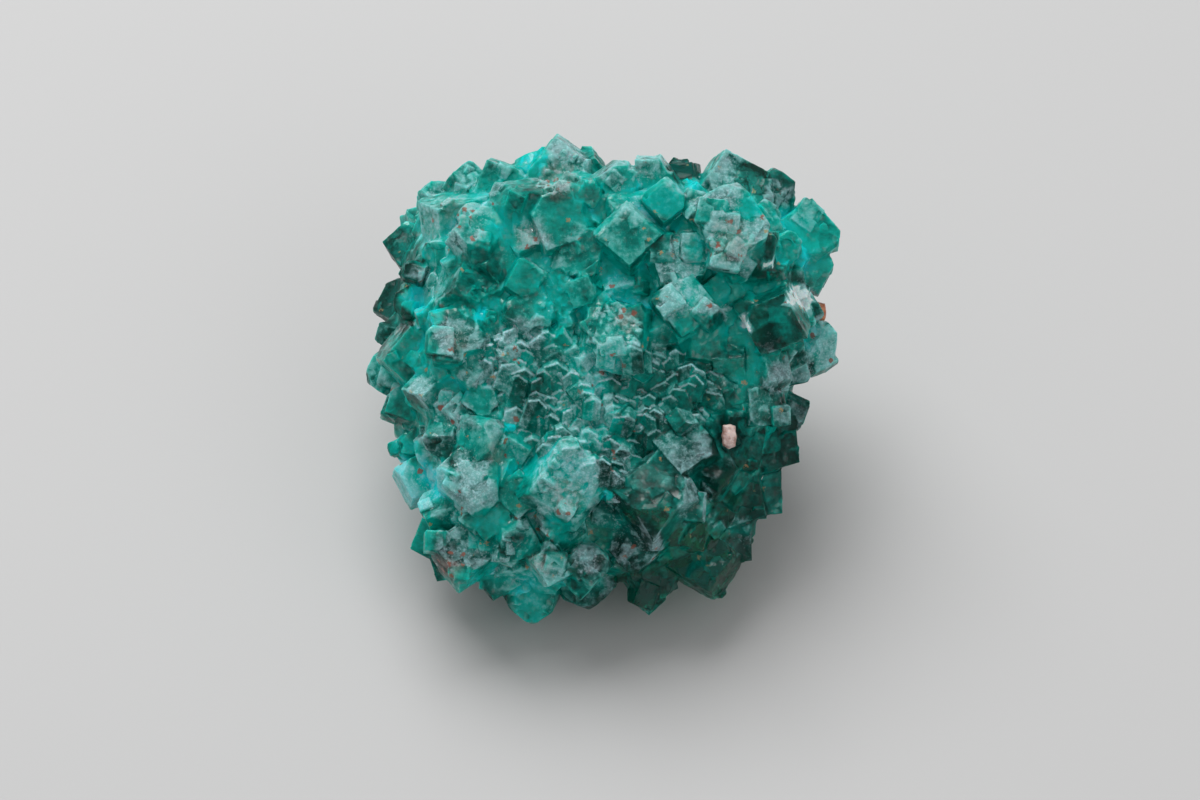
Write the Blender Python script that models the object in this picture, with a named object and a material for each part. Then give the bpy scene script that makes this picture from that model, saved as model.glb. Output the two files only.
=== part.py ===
"""A loose dioptase specimen: an intergrown lump of stubby green crystals with two calcite grains caught in it.

Run it with: blender --background --python part.py

The lump is drawn from its show face, the side with the best crystals. A place on that face is
(right, up, out) in millimetres: right and up run across the face, out stands square to it.
The specimen rests on a small flat of broken rock under its middle, at Z = 0.
"""

import math
import random
from collections import namedtuple

import bmesh
import bpy
from mathutils import Matrix, Vector
from mathutils.bvhtree import BVHTree

# Driving dimensions, in millimetres and degrees
SHOW_TILT = 52.0  # elevation of the line that stands square to the show face
HEART_HEIGHT = 11.6  # the lump's middle above the table
CAP_ANGLE = 51.0  # from a crystal's long axis to the normal of each of its three end faces
UNEVEN = 0.16  # how unevenly a crystal's faces have grown, as a share of their distance
WORN_TO = (0.74, 0.9)  # where a worn corner is cut, as a share of its distance
LARGE = 1.7  # half width from which a crystal has more of its corners worn
WORN_LARGE = 4
WORN_SMALL = 2
SINK = 0.5  # share of a filler crystal's radius that its middle lies under the lump's surface
FILLERS = [(2.7, 160), (2.0, 230)]  # half widths of the crystals that fill in all round, and tries at each
SHOW_FILLERS = [(1.4, 800), (1.0, 1600)]  # the same for the smaller ones, on the show side only
FILLER_REACH = (1.1, 1.6)  # half length over half width
FILLER_KNOCK = 0.4
CLOSE = 0.66  # how near two crystals' roots may be, as a share of their half widths together
CLEAR_OF_TABLE = 0.6  # least height of a filler's root, as a share of its half width
SHOW_SIDE = 0.2  # cosine of the widest angle from the show face's line that counts as the show side
GRAIN_ROOM = 1.4  # the room that fillers leave round a calcite grain
GRAIN_WEAR = (0.86, 1.0)  # how far in each corner of a calcite grain is worn
GRAIN_ROUND = 0.6  # 0 leaves a grain a block, 1 makes it an egg
SEED = 11
PINK_SEED = 3
ORANGE_SEED = 5
HEART = (0.0, 1.0, HEART_HEIGHT)
TABLE_WIDTH = 100.0
CUT_DEPTH = 20.0
FAR_OUT = 60.0  # well in front of the show face
RIM_OUT = 2.0  # how far out the rim of the lump lies
POCKET_GAP = 0.15  # between a calcite grain and the crystals around it
MM = 0.001

GREEN = (0.010, 0.235, 0.165, 1.0)
PINK = (0.62, 0.36, 0.30, 1.0)
ORANGE = (0.50, 0.16, 0.07, 1.0)
GLASSY = 0.25  # roughness of the dioptase
CHALKY = 0.5  # roughness of the calcite

SAME_LINE = 1e-4  # three planes whose normals' volume is under this meet in no one point
ON_PLANE = 1e-5
SAME_POINT = 1e-3

Crystal = namedtuple("Crystal", "right up out radius reach lean heading spin")

# The rock under the crystals: its face, its rim and its left shoulder, as (right, up, out)
FACE = [
    (-9.5, 10.5, 7.0), (-3, 13, 7.1), (4, 13.3, 7.2), (10.5, 12.2, 7.2), (13, 7, 7.1), (12.6, 2, 6.9),
    (10, -3, 6.9), (7.5, -9, 6.5), (2, -12, 6.2), (-4, -13, 6.8), (-9.5, -12, 6.6),
    (-11.5, -6, 6.7), (-12, 0, 6.7), (-11, 6, 6.9),
]
RIM = [
    (-13.2, 9.8, 1.5), (-9.4, 13.7, 1.5), (-4, 15.1, 1.5), (4, 15, 1.5), (11.4, 13.5, 1.5), (15.2, 10.3, 1.5),
    (15.2, 3, 1.5), (13.6, -1, 1.5), (12.2, -6, 1.5), (9.6, -12, 2), (7, -14.2, 2.5), (1, -14, 2.5),
    (-5, -15.2, 3), (-10.5, -13.6, 3), (-12.6, -10, 2.5), (-13.6, -4, 2), (-14.8, 2, 1.5),
]
SHOULDER = [(-14.8, 9, -3.5), (-15.1, 4, -3.5), (-13, 12.2, -4), (13.6, 6, -6), (11.5, -4, -5)]
# The hidden lower half, as level rings: height, half width, half depth, middle of the depth
RINGS = [(13.0, 14.0, 11.5, 1.5), (7.0, 12.4, 10.0, 1.2), (2.5, 9.2, 7.6, 1.0), (-1.5, 6.2, 5.2, 0.9)]
RING_STEPS = 11
RING_UNEVEN = 0.1  # how broken each ring is, as a share of its half width

# The crystals that make the show face what it is. lean is the angle between a crystal's long axis
# and the line square to the face, heading is the way it leans (0 right, 90 up), spin turns it.
TOP_LEFT = [
    Crystal(-2.9, 15.2, -1.00, 2.73, 3.23, 48, 100, 115),
    Crystal(-4.8, 15.4, -2.20, 1.78, 2.25, 64, 150, 5),
    Crystal(-1.2, 15.4, -1.20, 1.58, 1.96, 31, 60, 27),
    Crystal(-1.0, 13.4, 0.90, 1.16, 1.27, 43, 200, 105),
    Crystal(-7.4, 14.4, -0.60, 2.21, 2.55, 55, 120, 110),
    Crystal(-9.7, 14.2, -1.40, 1.68, 2.06, 44, 140, 52),
    Crystal(-10.4, 11.5, -1.75, 3.10, 3.60, 30, 140, 8),
    Crystal(-8.8, 10.2, -0.85, 2.1, 2.73, 45, 150, 40),
    Crystal(-5.6, 12.4, -1.05, 2.39, 3.20, 68, 35, 35),
    Crystal(-3.2, 11.4, -0.65, 2.76, 3.09, 42, 245, 0),
    Crystal(-5.3, 10.0, -0.65, 1.38, 1.64, 51, 230, 40),
    Crystal(-1.5, 9.4, -0.55, 2.13, 2.49, 51, 30, 0),
    Crystal(-5.6, 7.2, -0.05, 1.56, 1.78, 51, 195, 0),
    Crystal(-5.1, 4.9, -0.25, 1.88, 2.26, 38, 255, 0),
    Crystal(-7.8, 8.1, -0.95, 1.88, 1.97, 68, 65, 40),
    Crystal(-9.7, 6.6, -0.75, 2.25, 2.30, 18, 165, 40),
    Crystal(-12.3, 7.4, -2.05, 1.76, 2.61, 70, 120, 0),
    Crystal(-13.7, 5.6, -1.40, 1.47, 2.16, 62, 80, 110),
    Crystal(-11.9, 4.6, -1.05, 1.13, 1.66, 56, 95, 0),
    Crystal(-10.4, 3.0, -0.65, 2.39, 2.93, 34, 235, 10),
    Crystal(-7.9, 3.9, -0.75, 1.63, 1.75, 34, 245, 80),
    Crystal(-13.9, 1.7, -0.40, 2.42, 2.65, 41, 190, 110),
    Crystal(-9.4, 0.7, -0.15, 1.38, 1.86, 40, 175, 10),
    Crystal(-2.6, 6.2, -0.75, 2.13, 2.38, 68, 190, 0),
    Crystal(-3.0, 2.7, -0.35, 1.76, 1.86, 51, 195, 80),
    Crystal(-14.1, 9.6, -3.40, 2.10, 2.55, 74, 165, 20),
    Crystal(-14.6, 5.6, -4.00, 1.99, 2.35, 80, 185, 30),
    Crystal(-13.2, 11.7, -3.00, 1.99, 2.45, 58, 140, 15),
]
TOP_RIGHT = [
    Crystal(3.4, 14.0, -0.30, 2.94, 3.04, 44, 75, 1),
    Crystal(1.3, 14.0, 0.10, 1.99, 2.35, 43, 170, 0),
    Crystal(5.8, 14.6, -0.70, 1.89, 2.25, 50, 60, 105),
    Crystal(4.6, 12.8, 0.45, 1.49, 1.84, 51, 265, 0),
    Crystal(6.8, 12.9, 0.80, 1.00, 1.18, 45, 110, 15),
    Crystal(9.4, 13.8, -0.10, 2.62, 3.23, 65, 94, 20),
    Crystal(12.3, 13.2, -0.90, 1.47, 2.84, 66, 86, 15),
    Crystal(9.0, 10.8, 0.15, 3.26, 3.80, 40, 255, 0),
    Crystal(10.4, 8.8, -0.35, 2.25, 3.09, 28, 125, 10),
    Crystal(14.8, 10.7, -0.60, 2.42, 3.14, 66, 80, 5),
    Crystal(15.0, 8.2, -0.80, 1.99, 2.45, 54, 290, 0),
    Crystal(13.3, 9.6, 0.20, 1.26, 1.57, 44, 160, 5),
    Crystal(12.7, 4.4, 0.1, 2.89, 3.04, 38, 70, 0),
    Crystal(14.3, 5.3, -0.80, 1.78, 2.25, 68, 70, 5),
    Crystal(12.0, 2.7, -0.15, 1.38, 1.53, 28, 205, 15),
    Crystal(2.0, 9.8, -0.05, 2.63, 3.09, 38, 272, 0),
    Crystal(5.4, 8.3, -0.15, 2.25, 2.61, 40, 240, 0),
    Crystal(6.5, 11.1, -0.45, 1.51, 1.78, 51, 285, 0),
    Crystal(7.3, 9.3, -0.65, 1.63, 2.13, 62, 145, 40),
    Crystal(5.9, 5.2, 0.05, 2.51, 2.73, 60, 75, 10),
    Crystal(8.1, 6.3, -0.35, 1.25, 1.66, 56, 85, 0),
    Crystal(9.4, 6.7, -0.55, 1.63, 1.90, 51, 130, 0),
    Crystal(1.2, 6.6, -0.55, 1.63, 1.75, 28, 185, 70),
    Crystal(3.1, 7.2, -0.75, 1.51, 1.64, 18, 225, 110),
    Crystal(8.7, 4.7, -0.35, 1.13, 1.31, 34, 205, 0),
    Crystal(1.0, 3.2, -0.15, 2.63, 3.20, 40, 200, 20),
    Crystal(3.8, 3.2, -0.35, 1.38, 1.86, 40, 45, 45),
    Crystal(15.6, 2.5, -1.20, 1.78, 2.74, 70, 84, 115),
    Crystal(14.3, 0.8, 0.00, 1.37, 1.57, 47, 60, 0),
    Crystal(7.2, 2.8, -0.35, 2.39, 2.41, 34, 240, 95),
    Crystal(9.2, 1.4, -0.35, 1.88, 1.97, 34, 5, 55),
    Crystal(12.1, 0.6, -0.75, 1.63, 2.02, 40, 105, 55),
]
BOTTOM_RIGHT = [
    Crystal(8.6, -1.0, -0.55, 1.76, 1.86, 34, 60, 70),
    Crystal(11.4, -1.9, -0.25, 2.00, 2.18, 40, 130, 15),
    Crystal(13.4, -2.3, -0.20, 1.78, 2.06, 43, 215, 100),
    Crystal(5.6, -0.6, -0.55, 1.88, 2.40, 62, 105, 95),
    Crystal(3.3, -2.6, -0.25, 1.76, 2.02, 28, 25, 85),
    Crystal(5.8, -5.2, 0.15, 2.51, 2.73, 30, 262, 0),
    Crystal(3.8, -8.7, 0.55, 3.26, 3.56, 26, 268, 0),
    Crystal(6.5, -9.1, 0.85, 1.56, 1.78, 51, 218, 0),
    Crystal(8.1, -6.9, -0.75, 2.00, 2.07, 51, 155, 50),
    Crystal(1.1, -3.0, -0.45, 1.76, 2.02, 18, 335, 45),
    Crystal(1.1, -5.4, -0.45, 1.51, 1.64, 62, 125, 75),
    Crystal(12.2, -5.0, -1.55, 2.42, 2.81, 66, 330, 115),
    Crystal(11.5, -8.0, -2.85, 2.39, 2.85, 66, 320, 0),
    Crystal(10.2, -8.8, -1.55, 2.51, 2.85, 55, 330, 0),
    Crystal(9.1, -11.4, -1.75, 2.51, 2.85, 58, 320, 0),
    Crystal(7.4, -13.5, 0.00, 2.73, 2.94, 40, 275, 10),
    Crystal(3.3, -14.2, -0.90, 2.42, 2.65, 58, 265, 100),
    Crystal(2.6, -11.6, -0.75, 2.13, 2.85, 70, 175, 0),
    Crystal(0.6, -9.2, -0.65, 1.63, 2.14, 60, 130, 0),
]
BOTTOM_LEFT = [
    Crystal(-13.2, -7.4, 0.30, 2.42, 2.55, 40, 250, 0),
    Crystal(-9.4, -7.3, -0.05, 2.39, 3.56, 66, 92, 0),
    Crystal(-8.5, -4.3, -0.15, 2.13, 2.80, 40, 280, 35),
    Crystal(-6.1, -4.9, -0.45, 1.63, 1.75, 40, 135, 75),
    Crystal(-11.3, -4.1, -0.35, 1.51, 1.90, 18, 20, 40),
    Crystal(-13.4, -4.4, -0.30, 1.26, 1.47, 59, 95, 115),
    Crystal(-14.3, -4.8, -0.40, 1.16, 1.37, 56, 180, 115),
    Crystal(-10.0, -2.3, -0.55, 1.51, 1.78, 40, 165, 20),
    Crystal(-12.3, -0.9, -0.65, 2.13, 2.18, 18, 200, 90),
    Crystal(-14.3, -1.9, -0.40, 1.89, 2.16, 47, 200, 10),
    Crystal(-15.6, 0.5, -3.20, 1.78, 2.16, 79, 190, 15),
    Crystal(-7.2, -7.0, -0.55, 1.63, 2.13, 18, 275, 30),
    Crystal(-6.0, -8.3, -0.25, 2.00, 2.26, 51, 268, 0),
    Crystal(-2.5, -7.2, 0.35, 3.26, 3.80, 36, 96, 6),
    Crystal(-2.9, -10.3, -0.15, 1.88, 2.53, 28, 215, 45),
    Crystal(-8.2, -10.0, -0.25, 1.88, 2.26, 51, 262, 0),
    Crystal(-11.1, -9.7, -0.35, 1.88, 2.40, 40, 200, 65),
    Crystal(-11.4, -11.2, -1.65, 2.39, 3.09, 62, 200, 0),
    Crystal(-9.9, -12.7, 0.80, 2.52, 2.84, 35, 262, 0),
    Crystal(-11.0, -13.4, -0.40, 1.78, 2.16, 62, 235, 5),
    Crystal(-6.2, -11.5, -0.25, 1.88, 2.53, 40, 45, 40),
    Crystal(-7.6, -14.3, 0.30, 1.78, 1.96, 52, 260, 115),
    Crystal(-5.0, -15.5, 0.30, 1.99, 2.55, 80, 262, 10),
    Crystal(-3.6, -13.4, 0.90, 1.78, 2.06, 51, 262, 110),
    Crystal(-1.1, -13.4, 0.70, 1.99, 2.35, 47, 285, 100),
]
MIDDLE = [
    Crystal(-6.2, 2.0, -0.75, 1.88, 2.14, 62, 295, 90),
    Crystal(-6.4, -0.4, -0.75, 2.00, 2.07, 62, 255, 60),
    Crystal(-3.6, -0.2, -0.95, 2.00, 2.07, 68, 0, 30),
    Crystal(-4.4, -2.4, -0.95, 1.88, 2.14, 18, 160, 15),
    Crystal(-1.6, -1.8, -0.85, 1.88, 2.40, 68, 240, 35),
    Crystal(-1.0, 0.9, -0.85, 1.76, 2.26, 18, 125, 25),
    Crystal(3.0, 0.3, -0.85, 1.88, 2.14, 51, 210, 85),
    Crystal(-8.6, -1.6, -0.75, 1.76, 1.86, 51, 280, 0),
]
SHOW_CRYSTALS = TOP_LEFT + TOP_RIGHT + BOTTOM_RIGHT + BOTTOM_LEFT + MIDDLE

# Two grains of calcite: where each one's middle is, out from the rock, and its three half sizes
Grain = namedtuple("Grain", "right up out half_sizes")
PINK_GRAIN = Grain(9.2, -4.0, 1.5, (0.62, 0.98, 0.62))
ORANGE_GRAIN = Grain(15.9, 5.0, -0.8, (0.75, 0.85, 0.7))


def clear_scene():
    for obj in list(bpy.data.objects):
        bpy.data.objects.remove(obj)


def show_axes():
    """Columns are the show face's right, up and out, as directions in the specimen's own axes."""
    tilt = math.radians(SHOW_TILT)
    right = Vector((1, 0, 0))
    up = Vector((0, math.sin(tilt), math.cos(tilt)))
    out = Vector((0, -math.cos(tilt), math.sin(tilt)))
    return Matrix((right, up, out)).transposed()


def from_show(place):
    """A place on the show face, in millimetres, as a point over the table."""
    return show_axes() @ Vector(place) + Vector((0, 0, HEART_HEIGHT))


def crystal_planes(radius, reach, rng):
    """The faces of a dioptase crystal: a six sided prism with three end faces at the top and three below."""
    cap = math.radians(CAP_ANGLE)
    planes = []
    for k in range(6):
        turn = math.radians(30 + 60 * k)
        side = Vector((math.cos(turn), math.sin(turn), 0))
        planes.append((side, radius * uneven(rng)))
        top = 1 if k % 2 == 0 else -1
        turn = math.radians(180 + 60 * k)
        end = Vector((math.sin(cap) * math.cos(turn), math.sin(cap) * math.sin(turn), top * math.cos(cap)))
        planes.append((end, reach * math.cos(cap) * uneven(rng)))
    return planes


def uneven(rng):
    return rng.uniform(1 - UNEVEN, 1 + UNEVEN)


def worn(planes, count, rng):
    """The same faces, and one more across each of the corners that are worn off."""
    farthest = sorted(corners_of(planes), key=lambda point: -point.length)
    cuts = [(point.normalized(), point.length * rng.uniform(*WORN_TO)) for point in farthest[:count]]
    return planes + cuts


def corner(first, second, third):
    """Where three planes meet, or nothing where two of them are parallel."""
    normals = Matrix((first[0], second[0], third[0]))
    if abs(normals.determinant()) < SAME_LINE:
        return None
    return normals.inverted() @ Vector((first[1], second[1], third[1]))


def corners_of(planes):
    """The corners of the solid that lies inside all the planes."""
    found = []
    for i, first in enumerate(planes):
        for j in range(i + 1, len(planes)):
            for k in range(j + 1, len(planes)):
                point = corner(first, planes[j], planes[k])
                if point is None or any(normal @ point > far + ON_PLANE for normal, far in planes):
                    continue
                if all((point - other).length > SAME_POINT for other in found):
                    found.append(point)
    return found


def add_hull(bm, points):
    """A closed solid around the points, added to bm in metres."""
    verts = [bm.verts.new(Vector(point) * MM) for point in points]
    made = bmesh.ops.convex_hull(bm, input=verts, use_existing_faces=False)
    inside = [v for v in made["geom_interior"] if isinstance(v, bmesh.types.BMVert)]
    bmesh.ops.delete(bm, geom=inside, context="VERTS")


def axis_frame(axis, toward, spin):
    """A turn that lays Z along axis, with the first end face on the side of toward."""
    side = toward - axis * toward.dot(axis)
    if side.length < SAME_POINT:
        side = axis.orthogonal()
    side.normalize()
    across = axis.cross(side)
    frame = Matrix((-side, -across, axis)).transposed()
    return frame @ Matrix.Rotation(math.radians(spin), 3, "Z")


def add_crystal(bm, middle, frame, radius, reach, rng):
    cuts = WORN_LARGE if radius > LARGE else WORN_SMALL
    points = corners_of(worn(crystal_planes(radius, reach, rng), cuts, rng))
    add_hull(bm, [frame @ point + middle for point in points])


def heart_points():
    """The corners of the rock inside, in millimetres over the table."""
    rng = random.Random(SEED)
    points = [from_show(place) for place in FACE + RIM + SHOULDER]
    for height, half_width, half_depth, middle in RINGS:
        for k in range(RING_STEPS):
            turn = 2 * math.pi * k / RING_STEPS
            swell = rng.uniform(1 - RING_UNEVEN, 1 + RING_UNEVEN)
            x = half_width * swell * math.cos(turn)
            y = middle + half_depth * swell * math.sin(turn)
            points.append(Vector((x, y, height)))
    return points


def mesh_object(name, bm, colour, roughness):
    bmesh.ops.recalc_face_normals(bm, faces=bm.faces)
    mesh = bpy.data.meshes.new(name)
    bm.to_mesh(mesh)
    bm.free()
    obj = bpy.data.objects.new(name, mesh)
    bpy.context.scene.collection.objects.link(obj)
    material = bpy.data.materials.new(name)
    material.use_nodes = True
    shader = material.node_tree.nodes["Principled BSDF"]
    shader.inputs["Base Color"].default_value = colour
    shader.inputs["Roughness"].default_value = roughness
    shader.inputs["Metallic"].default_value = 0.0
    mesh.materials.append(material)
    return obj


def heart_tree():
    """The heart's surface, in millimetres, for finding where crystals are rooted."""
    bm = bmesh.new()
    add_hull(bm, heart_points())
    bmesh.ops.scale(bm, vec=Vector((1, 1, 1)) / MM, verts=bm.verts)
    tree = BVHTree.FromBMesh(bm)
    bm.free()
    return tree


def rooted(tree, item):
    """The middle of a show crystal or grain: out from the rock where it lies in front of it, or else from its rim."""
    axes = show_axes()
    start = from_show((item.right, item.up, FAR_OUT))
    hit, _, _, _ = tree.ray_cast(start, -axes.col[2])
    if hit is None:
        return from_show((item.right, item.up, RIM_OUT + item.out))
    return hit + axes.col[2] * item.out


def show_axis(crystal):
    """The way a show crystal's long axis points."""
    lean = math.radians(crystal.lean)
    heading = math.radians(crystal.heading)
    across = Vector((math.cos(heading), math.sin(heading), 0)) * math.sin(lean)
    return show_axes() @ (across + Vector((0, 0, math.cos(lean))))


def filler_places(tree, taken, rng):
    """Roots for crystals spread over the lump, largest first, where nothing else stands."""
    heart = Vector(HEART)
    out = show_axes().col[2]
    sizes = [(size, tries, -1) for size, tries in FILLERS]
    sizes += [(size, tries, SHOW_SIDE) for size, tries in SHOW_FILLERS]
    places = []
    for size, tries, least_facing in sizes:
        for _ in range(tries):
            way = Vector((rng.gauss(0, 1), rng.gauss(0, 1), rng.gauss(0, 1))).normalized()
            radius = size * uneven(rng)
            hit, normal, _, _ = tree.ray_cast(heart, way)
            outward = normal if normal.dot(way) > 0 else -normal
            if hit.z < CLEAR_OF_TABLE * radius or way.dot(out) < least_facing:
                continue
            if any((hit - middle).length < CLOSE * (radius + other) for middle, other in taken):
                continue
            places.append((hit - outward * SINK * radius, outward, radius))
            taken.append((hit, radius))
    return places


def turned(axis, most, rng):
    """An axis knocked off its line by about so much."""
    return (axis + Vector((rng.gauss(0, most), rng.gauss(0, most), rng.gauss(0, most)))).normalized()


def add_all_crystals(bm, tree):
    rng = random.Random(SEED)
    out = show_axes().col[2]
    taken = [(rooted(tree, grain), GRAIN_ROOM) for grain in (PINK_GRAIN, ORANGE_GRAIN)]
    for crystal in SHOW_CRYSTALS:
        middle = rooted(tree, crystal)
        frame = axis_frame(show_axis(crystal), out, crystal.spin)
        add_crystal(bm, middle, frame, crystal.radius, crystal.reach, rng)
        taken.append((middle, crystal.radius))
    for middle, outward, radius in filler_places(tree, taken, rng):
        frame = axis_frame(turned(outward, FILLER_KNOCK, rng), Vector((0, 0, 1)), rng.uniform(0, 120))
        add_crystal(bm, middle, frame, radius, radius * rng.uniform(*FILLER_REACH), rng)


def grain_points(grain, tree, extra, seed):
    """A blunt grain: the corners of a rounded block, each worn by its own amount."""
    rng = random.Random(seed)
    middle = rooted(tree, grain)
    axes = show_axes()
    points = []
    for right, up, out in [(x, y, z) for x in (-1, 0, 1) for y in (-1, 0, 1) for z in (-1, 0, 1)]:
        way = Vector((right, up, out))
        if way.length == 0:
            continue
        share = rng.uniform(*GRAIN_WEAR) / way.length ** GRAIN_ROUND
        local = Vector([w * (half + extra) * share for w, half in zip(way, grain.half_sizes)])
        points.append(middle + axes @ local)
    return points


def boolean(obj, operand, operation, use_self=False):
    """Cuts or joins with operand, applies the result to obj and removes the operand."""
    modifier = obj.modifiers.new(operation.title(), "BOOLEAN")
    modifier.object = operand
    modifier.operation = operation
    modifier.solver = "EXACT"
    modifier.use_self = use_self
    bpy.context.view_layer.update()
    done = bpy.data.meshes.new_from_object(obj.evaluated_get(bpy.context.evaluated_depsgraph_get()))
    obj.modifiers.clear()
    obj.data = done
    bpy.data.objects.remove(operand)


def keep_outer_skin(obj):
    """Fills the gaps sealed between crystals, by keeping only the largest of the mesh's closed skins."""
    bm = bmesh.new()
    bm.from_mesh(obj.data)
    skins = []
    left = set(bm.faces)
    while left:
        front = [left.pop()]
        skin = list(front)
        while front:
            near = {face for edge in front.pop().edges for face in edge.link_faces} & left
            left -= near
            front += near
            skin += near
        skins.append(skin)
    outer = max(skins, key=len)
    inner = [face for skin in skins if skin is not outer for face in skin]
    bmesh.ops.delete(bm, geom=inner, context="FACES")
    bm.to_mesh(obj.data)
    bm.free()


def make_cluster():
    """The whole lump of intergrown dioptase, one solid, flat where it broke from its rock."""
    core = bmesh.new()
    add_hull(core, heart_points())
    cluster = mesh_object("dioptase_cluster", core, GREEN, GLASSY)
    crystals = bmesh.new()
    add_all_crystals(crystals, heart_tree())
    boolean(cluster, mesh_object("crystals", crystals, GREEN, GLASSY), "UNION", use_self=True)
    table = bmesh.new()
    wide = Matrix.Diagonal((TABLE_WIDTH * MM, TABLE_WIDTH * MM, CUT_DEPTH * MM, 1))
    bmesh.ops.create_cube(table, size=1, matrix=Matrix.Translation((0, 0, -CUT_DEPTH * MM / 2)) @ wide)
    boolean(cluster, mesh_object("table", table, GREEN, GLASSY), "DIFFERENCE")
    return cluster


def make_grain(name, grain, colour, seed, cluster):
    """A grain of calcite, with its pocket cut in the cluster."""
    tree = heart_tree()
    pocket = bmesh.new()
    add_hull(pocket, grain_points(grain, tree, POCKET_GAP, seed))
    boolean(cluster, mesh_object("pocket", pocket, colour, CHALKY), "DIFFERENCE")
    solid = bmesh.new()
    add_hull(solid, grain_points(grain, tree, 0.0, seed))
    return mesh_object(name, solid, colour, CHALKY)


def stand_on_origin(objects):
    """Moves everything so that the origin is under the middle of the specimen's box, on the table."""
    corners = [vert.co for obj in objects for vert in obj.data.vertices]
    low = [min(co[i] for co in corners) for i in range(3)]
    high = [max(co[i] for co in corners) for i in range(3)]
    shift = Vector((-(low[0] + high[0]) / 2, -(low[1] + high[1]) / 2, -low[2]))
    for obj in objects:
        obj.data.transform(Matrix.Translation(shift))
    return shift


def main():
    clear_scene()
    cluster = make_cluster()
    pink = make_grain("pink_calcite_grain", PINK_GRAIN, PINK, PINK_SEED, cluster)
    orange = make_grain("orange_calcite_grain", ORANGE_GRAIN, ORANGE, ORANGE_SEED, cluster)
    keep_outer_skin(cluster)
    shift = stand_on_origin([cluster, pink, orange])
    print("moved by", [round(x / MM, 3) for x in shift], "mm;", len(cluster.data.polygons), "faces")


main()
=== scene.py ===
import itertools
import math
import random
import time

import bmesh
import bpy
import numpy as np
from mathutils import Matrix, Vector, noise
from mathutils.bvhtree import BVHTree


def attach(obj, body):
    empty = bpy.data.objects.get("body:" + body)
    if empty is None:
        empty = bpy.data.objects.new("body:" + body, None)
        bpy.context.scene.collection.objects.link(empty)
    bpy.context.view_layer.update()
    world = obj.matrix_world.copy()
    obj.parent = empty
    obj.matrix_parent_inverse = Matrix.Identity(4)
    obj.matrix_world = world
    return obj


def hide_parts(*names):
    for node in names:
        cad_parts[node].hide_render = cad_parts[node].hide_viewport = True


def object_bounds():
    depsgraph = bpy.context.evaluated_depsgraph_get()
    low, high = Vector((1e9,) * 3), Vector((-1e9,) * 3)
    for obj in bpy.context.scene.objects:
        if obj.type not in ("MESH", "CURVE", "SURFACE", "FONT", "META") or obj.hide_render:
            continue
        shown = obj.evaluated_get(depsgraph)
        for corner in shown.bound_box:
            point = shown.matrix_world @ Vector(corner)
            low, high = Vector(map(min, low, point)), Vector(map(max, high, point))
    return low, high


started = time.time()
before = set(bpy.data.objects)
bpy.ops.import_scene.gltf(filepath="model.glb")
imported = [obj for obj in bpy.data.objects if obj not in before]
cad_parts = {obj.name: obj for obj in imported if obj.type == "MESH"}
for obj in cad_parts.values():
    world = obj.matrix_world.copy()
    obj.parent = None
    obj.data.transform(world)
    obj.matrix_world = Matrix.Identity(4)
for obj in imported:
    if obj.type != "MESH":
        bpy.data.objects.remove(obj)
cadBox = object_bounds()
scene = bpy.context.scene


def report(text):
    print("%5.1f s  %s" % (time.time() - started, text))


# The show face. Shapes are worked out in millimetres and go to metres when a mesh is made.
# A place on the face is (right, up, out): right and up run across it, out stands square to it.

showFace = {
    "tilt": 52,  # degrees from the table to the line that stands square to the face
    "middle": (-0.069, 0.64, 11.6),
}

tilt = math.radians(showFace["tilt"])
faceRight = np.array((1.0, 0.0, 0.0))
faceUp = np.array((0.0, math.sin(tilt), math.cos(tilt)))
faceOut = np.array((0.0, -math.cos(tilt), math.sin(tilt)))
faceAxes = np.array((faceRight, faceUp, faceOut))
faceMiddle = np.array(showFace["middle"])


def toFace(points):
    return (points - faceMiddle) @ faceAxes.T


def fromFace(right, up, out=0.0):
    return faceMiddle + np.array((right, up, out)) @ faceAxes


def smoothStep(low, high, value):
    share = np.clip((value - low) / (high - low), 0, 1)
    return share * share * (3 - 2 * share)


def wobble(points, size, shift=0.0):
    # smooth noise from -1 to 1, with lumps about so many millimetres wide
    aside = Vector((shift, shift, 0))
    return np.array([noise.noise(Vector(point) / size + aside) for point in points])


# Small crystals

crystalHabit = {
    "capAngle": 51,  # from the long axis to the normal of an end face
    "uneven": 0.22,  # how far each face's distance strays
    "roofAngle": 14,  # how far the two front faces of a scale turn apart
    "peakAngle": 32,  # the same for the two faces along its upper edge
    "rim": 0.07,  # how much of that edge is worn off
    "scaleFront": 0.16,  # the distances of a scale's faces from its middle, for a width of 1
    "scaleUpper": 0.55,
    "scaleSide": 0.5,
    "scaleLower": 0.75,
    "scaleBack": 0.5,
    "scaleUneven": 0.15,
}


def crystalNormals():
    cap = math.radians(crystalHabit["capAngle"])
    normals = []
    for k in range(6):
        turn = math.radians(30 + 60 * k)
        normals.append((math.cos(turn), math.sin(turn), 0))
        turn = math.radians(180 + 60 * k)
        side = math.sin(cap)
        normals.append((side * math.cos(turn), side * math.sin(turn), math.cos(cap) * (-1) ** k))
    return np.array(normals)


def scaleNormals():
    roof, peak = math.radians(crystalHabit["roofAngle"]), math.radians(crystalHabit["peakAngle"])
    front = [(side * math.sin(roof), 0, math.cos(roof)) for side in (-1, 1)]
    upper = [(side * math.sin(peak), math.cos(peak), 0) for side in (-1, 1)]
    rims = [np.add(one, two) / np.linalg.norm(np.add(one, two)) for one, two in zip(front, upper)]
    return np.array(front + upper + rims + [(-1, 0, 0), (1, 0, 0), (0, -1, 0), (0, 0, -1)])


def shapeOf(normals):
    # the planes of a shape, and every three of them that meet in a point
    threes = np.array(list(itertools.combinations(range(len(normals)), 3)))
    rows = threes[np.abs(np.linalg.det(normals[threes])) > 1e-3]
    return normals, rows, np.linalg.inv(normals[rows])


crystalShape = shapeOf(crystalNormals())
scaleShape = shapeOf(scaleNormals())


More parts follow.
